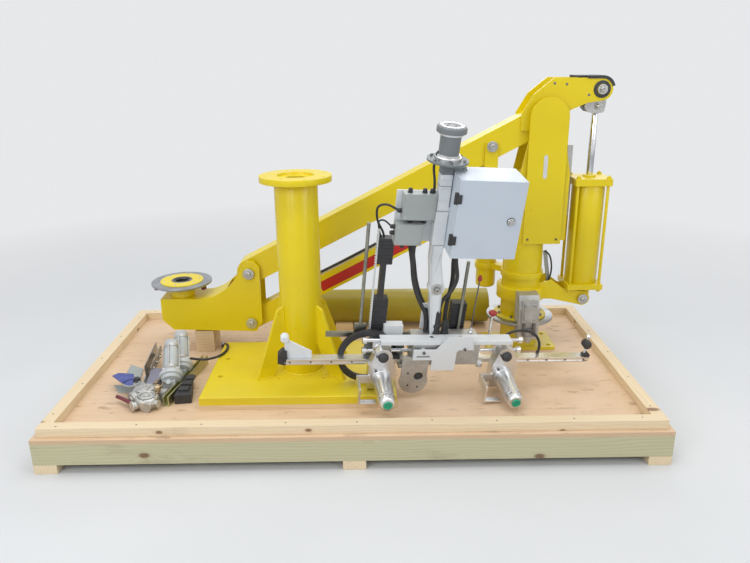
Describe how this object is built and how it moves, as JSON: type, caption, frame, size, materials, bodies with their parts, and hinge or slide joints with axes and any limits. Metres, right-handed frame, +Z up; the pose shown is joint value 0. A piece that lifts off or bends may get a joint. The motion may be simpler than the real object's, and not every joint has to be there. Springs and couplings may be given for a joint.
{
  "type": "pneumatic manipulator arm",
  "caption": "Balanced parallelogram lifting arm with air cylinder, column and mandrel lifting tool, set out on a timber shipping base.",
  "frame": {"origin": "middle of the timber base, on the floor", "axes": "+X to the right along the base, +Y away from its front edge, +Z up"},
  "size_m": [2.44, 1.312, 1.4212],
  "materials": {
    "pine": "sawn",
    "plywood": "sanded",
    "yellow_paint": "gloss",
    "grey_steel": "satin",
    "bare_aluminium": "satin",
    "white_paint": "satin",
    "grey_paint": "satin",
    "chrome_rod": "polished",
    "black_plastic": "matt",
    "black_rubber": "matt"
  },
  "bodies": {
    "base": {"air_block": "grey_paint", "air_channel": "grey_steel", "air_filters": "white_paint", "air_valve": "grey_paint", "arm_post": "yellow_paint", "brake_disc": "grey_steel", "column_base_plate": "yellow_paint", "column_flange": "yellow_paint", "column_gussets": "yellow_paint", "column_tube": "yellow_paint", "control_box": "white_paint", "drag_chains": "black_plastic", "flange_plate": "grey_paint", "guide_rods": "grey_steel", "mandrel_blocks": "bare_aluminium", "mandrel_shoes": "bare_aluminium", "mandrels": "bare_aluminium", "pallet_deck": "plywood", "pallet_frame": "pine", "pallet_rim": "pine", "pallet_runners": "pine", "rail_handles": "white_paint", "rear_disc": "grey_steel", "slide_rods": "chrome_rod", "spare_tube": "yellow_paint", "timber_blocks": "pine", "tool_body": "bare_aluminium", "tool_hose": "black_rubber", "tool_hub": "grey_paint", "tool_panel": "white_paint", "tool_rail": "bare_aluminium", "tool_top_strip": "white_paint", "tool_upright": "white_paint", "valve_boxes": "grey_paint"},
    "slewing_body": {"slew_tube": "yellow_paint", "slew_brackets": "yellow_paint", "brake_caliper": "bare_aluminium", "air_reservoir": "yellow_paint", "housing_cheeks": "yellow_paint", "housing_covers": "yellow_paint", "pivot_pins": "grey_steel", "cylinder_barrel": "yellow_paint", "cylinder_heads": "yellow_paint", "tie_rods": "grey_steel"},
    "upper_arm": {"upper_beam": "yellow_paint", "lever_plates": "yellow_paint", "lever_guard": "black_plastic", "arm_pins": "grey_steel"},
    "lower_arm": {"lower_beam": "yellow_paint", "lower_link_pin": "grey_steel"},
    "link": {"middle_link": "yellow_paint"},
    "head": {"arm_head": "yellow_paint", "head_pins": "grey_steel"},
    "swivel": {"swivel_disc": "grey_steel", "swivel_ring": "yellow_paint"},
    "rod": {"piston_rod": "chrome_rod", "rod_yoke": "grey_steel"},
    "door": {"box_door": "white_paint"}
  },
  "joints": [
    {"name": "arm_slew", "type": "hinge", "parent": "base", "child": "slewing_body", "pos_m": [0.803, 0.214, 0.145], "axis": [0, 0, 1], "range_deg": [-180, 3]},
    {"name": "arm_lift", "type": "hinge", "parent": "slewing_body", "child": "upper_arm", "pos_m": [0.862, 0.214, 1.246], "axis": [0, 1, 0], "range_deg": [0, 54.6]},
    {"name": "lower_arm_turn", "type": "hinge", "parent": "slewing_body", "child": "lower_arm", "pos_m": [0.862, 0.214, 0.999], "axis": [0, 1, 0], "range_deg": [0, 54.6]},
    {"name": "link_turn", "type": "hinge", "parent": "upper_arm", "child": "link", "pos_m": [0.61941, 0.214, 1.12079], "axis": [0, 1, 0], "range_deg": [-54.6, 0]},
    {"name": "head_turn", "type": "hinge", "parent": "upper_arm", "child": "head", "pos_m": [-0.49758, 0.214, 0.54427], "axis": [0, 1, 0], "range_deg": [-54.6, 0]},
    {"name": "rod_slide", "type": "slide", "parent": "slewing_body", "child": "rod", "axis": [0, 0, 1], "range_m": [-0.23391, 0]},
    {"name": "head_swivel", "type": "hinge", "parent": "head", "child": "swivel", "pos_m": [-0.83408, 0.214, 0.47877], "axis": [0, 0, 1], "continuous": true},
    {"name": "door_hinge", "type": "hinge", "parent": "base", "child": "door", "pos_m": [0.37065, -0.50557, 0.94128], "axis": [0.0869, -0.1639, 0.9826], "range_deg": [-110, 0]}
  ],
  "couplings": [
    {"joint": "lower_arm_turn", "follows": "arm_lift", "ratio": 1},
    {"joint": "link_turn", "follows": "arm_lift", "ratio": -1},
    {"joint": "head_turn", "follows": "arm_lift", "ratio": -1},
    {"joint": "rod_slide", "follows": "arm_lift", "m_per_rad": -0.24546}
  ]
}
